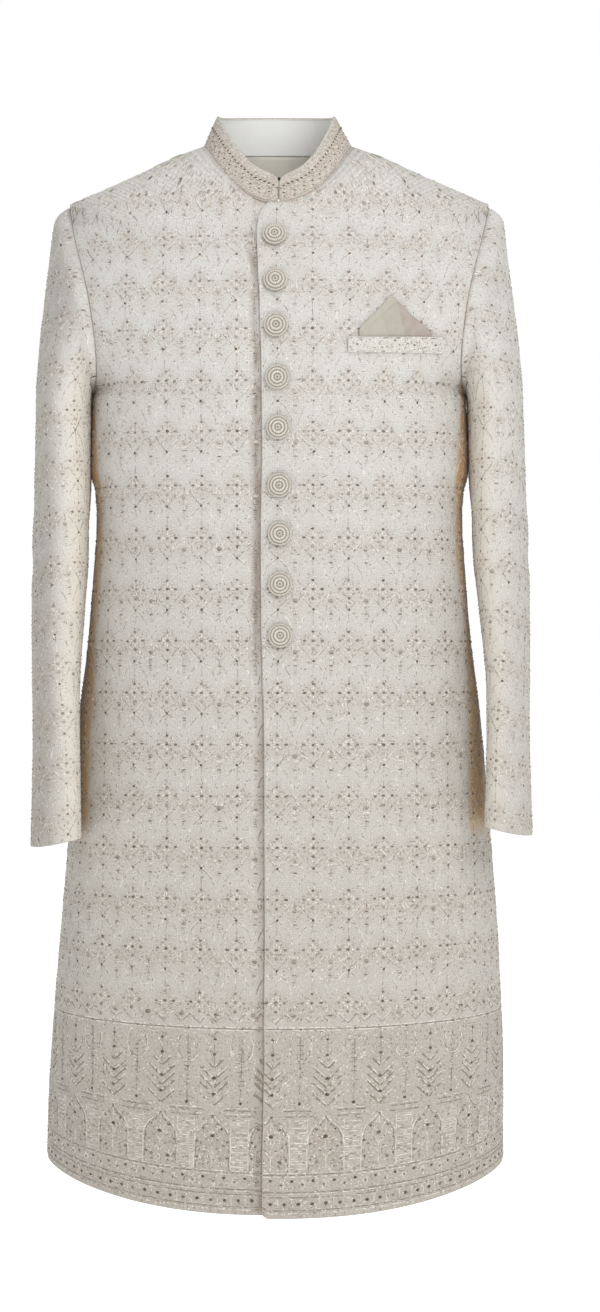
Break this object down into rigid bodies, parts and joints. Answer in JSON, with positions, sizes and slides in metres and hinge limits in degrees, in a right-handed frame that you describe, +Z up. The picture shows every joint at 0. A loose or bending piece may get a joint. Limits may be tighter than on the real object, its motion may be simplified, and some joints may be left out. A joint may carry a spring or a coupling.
{
  "type": "sherwani coat",
  "caption": "Knee-length embroidered sherwani coat, hollow as worn, with a stand collar, overlapping buttoned front, long two-piece sleeves and a breast welt with a folded square",
  "frame": {"origin": "centre of the neck base, level with the points where the shoulder seams meet the collar", "axes": "+Z up, the front faces -Y, the wearer's left is +X"},
  "size_m": [0.5119, 0.3248, 1.1077],
  "materials": {
    "coat_cloth": "ivory embroidered coat cloth with raised thread work and small metallic spangles",
    "collar_cloth": "densely thread-worked band with a row of small beads",
    "satin": "greige satin with a soft sheen",
    "button_cord": "coiled thread cord over a domed mould",
    "dark_metal": "darkened metal hook"
  },
  "bodies": {
    "root": {"front_left": "coat_cloth", "front_right": "coat_cloth", "back": "coat_cloth", "sleeve_upper_left": "coat_cloth", "sleeve_under_left": "coat_cloth", "sleeve_upper_right": "coat_cloth", "sleeve_under_right": "coat_cloth", "collar": "collar_cloth", "collar_hook": "dark_metal", "pocket_welt": "coat_cloth", "pocket_square": "satin", "button_1": "button_cord", "button_2": "button_cord", "button_3": "button_cord", "button_4": "button_cord", "button_5": "button_cord", "button_6": "button_cord", "button_7": "button_cord", "button_8": "button_cord", "button_9": "button_cord"}
  },
  "joints": []
}
